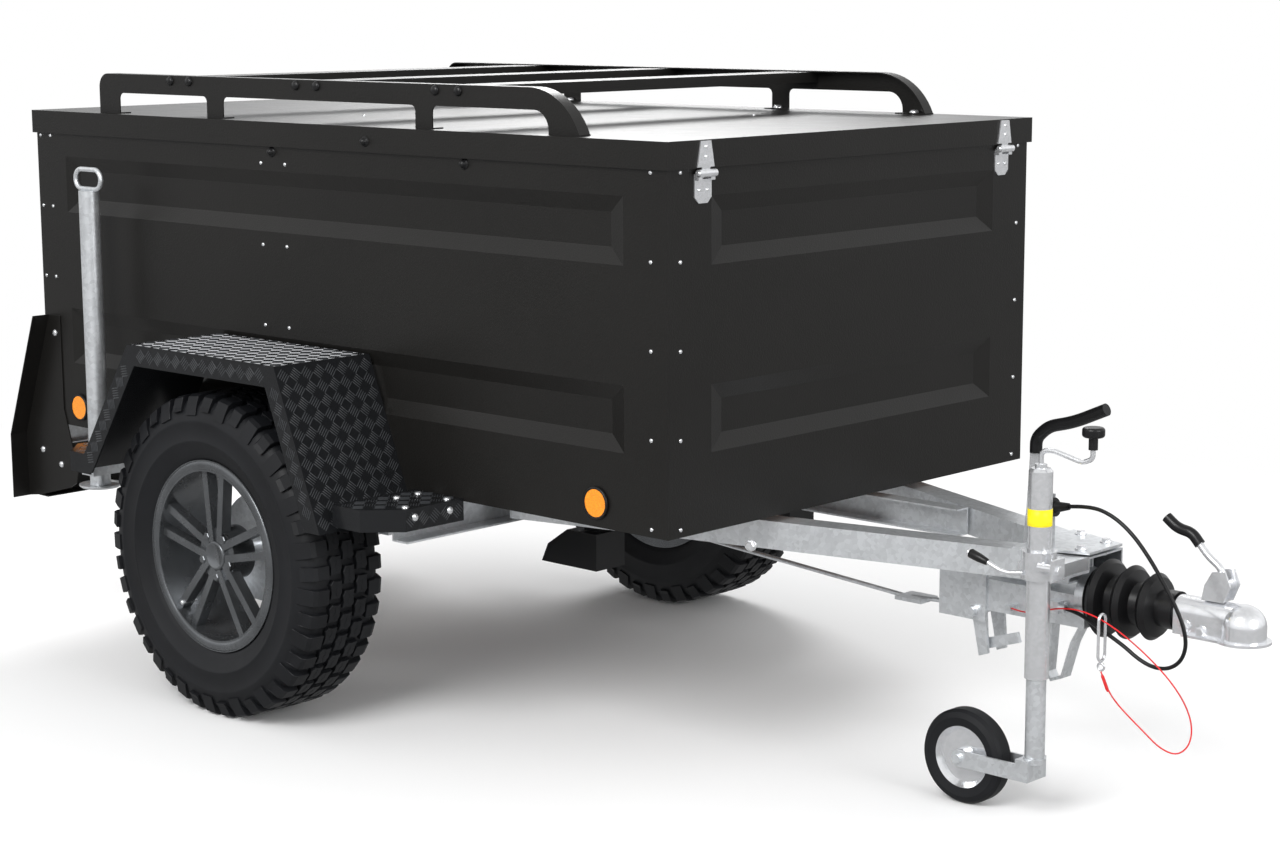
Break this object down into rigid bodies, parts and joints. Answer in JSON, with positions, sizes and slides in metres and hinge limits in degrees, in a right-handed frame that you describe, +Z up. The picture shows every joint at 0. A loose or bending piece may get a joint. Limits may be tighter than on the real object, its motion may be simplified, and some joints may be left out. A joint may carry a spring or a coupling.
{
  "type": "off-road trailer",
  "caption": "Off-road box trailer with a hinged flat lid and roof rack, drop tailgate, overrun brake, jockey wheel and prop stands.",
  "frame": {"origin": "on the ground, at the middle of the trailer's length and width", "axes": "+X forward towards the coupling, +Y to the left, +Z up"},
  "size_m": [3.268, 1.76, 1.438],
  "materials": {
    "black_paint": "black powder coat",
    "galvanised": "galvanised",
    "rubber": "matt",
    "tyre": "matt",
    "rim": "painted grey, satin",
    "plastic": "matt",
    "wood": "film-faced plywood",
    "reflector": "orange",
    "lamp": "red",
    "red_wire": "coated steel rope"
  },
  "bodies": {
    "chassis": {"axle_beam": "galvanised", "bellows": "rubber", "brake_linkage": "galvanised", "breakaway_wire": "red_wire", "cable_gland": "galvanised", "carabiner": "galvanised", "centre_channel": "galvanised", "corner_posts": "black_paint", "coupling_grip": "rubber", "coupling_handle": "galvanised", "coupling_head": "galvanised", "cross_members": "galvanised", "drawbar_rail_left": "galvanised", "drawbar_rail_right": "galvanised", "fender_steps": "black_paint", "fenders": "black_paint", "floor_panel": "wood", "front_panel": "black_paint", "handbrake_grip": "rubber", "handbrake_lever": "galvanised", "jockey_clamp": "galvanised", "jockey_crank": "galvanised", "jockey_knob": "plastic", "jockey_lever": "galvanised", "jockey_tube": "galvanised", "lid_hinge_brackets": "galvanised", "light_board": "black_paint", "light_guards": "black_paint", "lighting_cable": "rubber", "overrun_housing": "galvanised", "plug": "plastic", "rear_header": "black_paint", "safety_strap": "galvanised", "side_panel_left": "black_paint", "side_panel_right": "black_paint", "side_rails": "galvanised", "side_reflectors": "reflector", "stand_clamps": "galvanised", "swing_arms": "galvanised", "tail_lamps": "lamp", "tailgate_hinges": "galvanised", "wheel_chocks": "plastic"},
    "wheel_right": {"tyre_right": "tyre", "rim_right": "rim"},
    "wheel_left": {"tyre_left": "tyre", "rim_left": "rim"},
    "lid": {"lid": "black_paint", "roof_rails": "black_paint", "rack_crossbars": "black_paint", "lid_hinge_leaves": "galvanised"},
    "tailgate": {"tailgate": "black_paint", "tailgate_latches": "galvanised"},
    "prop_right": {"prop_stand_right": "galvanised"},
    "prop_left": {"prop_stand_left": "galvanised"},
    "jockey_slider": {"jockey_leg": "galvanised"},
    "jockey_fork": {"jockey_fork": "galvanised"},
    "jockey_wheel": {"jockey_tyre": "rubber", "jockey_rim": "galvanised"}
  },
  "joints": [
    {"name": "wheel_right_spin", "type": "hinge", "parent": "chassis", "child": "wheel_right", "pos_m": [-0.568, -0.7425, 0.372], "axis": [0, 1, 0], "continuous": true},
    {"name": "wheel_left_spin", "type": "hinge", "parent": "chassis", "child": "wheel_left", "pos_m": [-0.568, 0.7425, 0.372], "axis": [0, 1, 0], "continuous": true},
    {"name": "lid_hinge", "type": "hinge", "parent": "chassis", "child": "lid", "pos_m": [0.645, 0, 1.276], "axis": [0, 1, 0], "range_deg": [0, 45]},
    {"name": "tailgate_hinge", "type": "hinge", "parent": "chassis", "child": "tailgate", "pos_m": [-1.541, 0, 0.567], "axis": [0, -1, 0], "range_deg": [0, 90]},
    {"name": "prop_right_slide", "type": "slide", "parent": "chassis", "child": "prop_right", "axis": [0, 0, 1], "range_m": [-0.42, 0]},
    {"name": "prop_left_slide", "type": "slide", "parent": "chassis", "child": "prop_left", "axis": [0, 0, 1], "range_m": [-0.42, 0]},
    {"name": "jockey_slide", "type": "slide", "parent": "chassis", "child": "jockey_slider", "axis": [0, 0, 1], "range_m": [-0.12, 0.14]},
    {"name": "jockey_swivel", "type": "hinge", "parent": "jockey_slider", "child": "jockey_fork", "pos_m": [1.232, -0.188, 0.15], "axis": [0, 0, 1], "continuous": true},
    {"name": "jockey_wheel_spin", "type": "hinge", "parent": "jockey_fork", "child": "jockey_wheel", "pos_m": [1.069, -0.188, 0.098], "axis": [0, 1, 0], "continuous": true}
  ]
}
